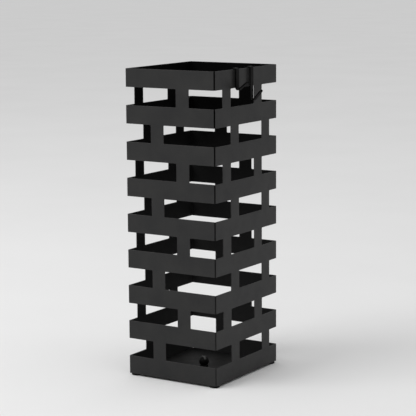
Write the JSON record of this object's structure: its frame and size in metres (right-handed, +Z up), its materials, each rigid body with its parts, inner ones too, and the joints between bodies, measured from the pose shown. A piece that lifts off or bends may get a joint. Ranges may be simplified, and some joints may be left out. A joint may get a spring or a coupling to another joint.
{
  "type": "umbrella stand",
  "caption": "Tall square-cornered umbrella stand of folded sheet steel with a brick pattern of windows, a drained floor, a lift-out plug, rubber feet and hooks over the rim.",
  "frame": {"origin": "middle of the whole footprint, hooks included, at the level the feet stand on", "axes": "+Z up; +X out of the wide wall that carries the hooks; Y along that wall, -Y towards the narrow front wall"},
  "size_m": [0.1595, 0.16, 0.4218],
  "materials": {
    "powder_coat": "satin black powder coat on sheet steel",
    "rubber": "black moulded rubber"
  },
  "bodies": {
    "stand": {"front_left_panel": "powder_coat", "rear_right_panel": "powder_coat", "floor_plate": "powder_coat", "foot_front_left": "rubber", "foot_front_right": "rubber", "foot_rear_left": "rubber", "foot_rear_right": "rubber"},
    "plug": {"drain_plug": "rubber"},
    "short_hook": {"hook_short": "powder_coat"},
    "long_hook": {"hook_long": "powder_coat"}
  },
  "joints": [
    {"name": "plug_lift", "type": "slide", "parent": "stand", "child": "plug", "axis": [0, 0, 1], "range_m": [0, 0.43]},
    {"name": "short_hook_lift", "type": "slide", "parent": "stand", "child": "short_hook", "axis": [0, 0, 1], "range_m": [0, 0.035]},
    {"name": "long_hook_lift", "type": "slide", "parent": "stand", "child": "long_hook", "axis": [0, 0, 1], "range_m": [0, 0.05]}
  ]
}
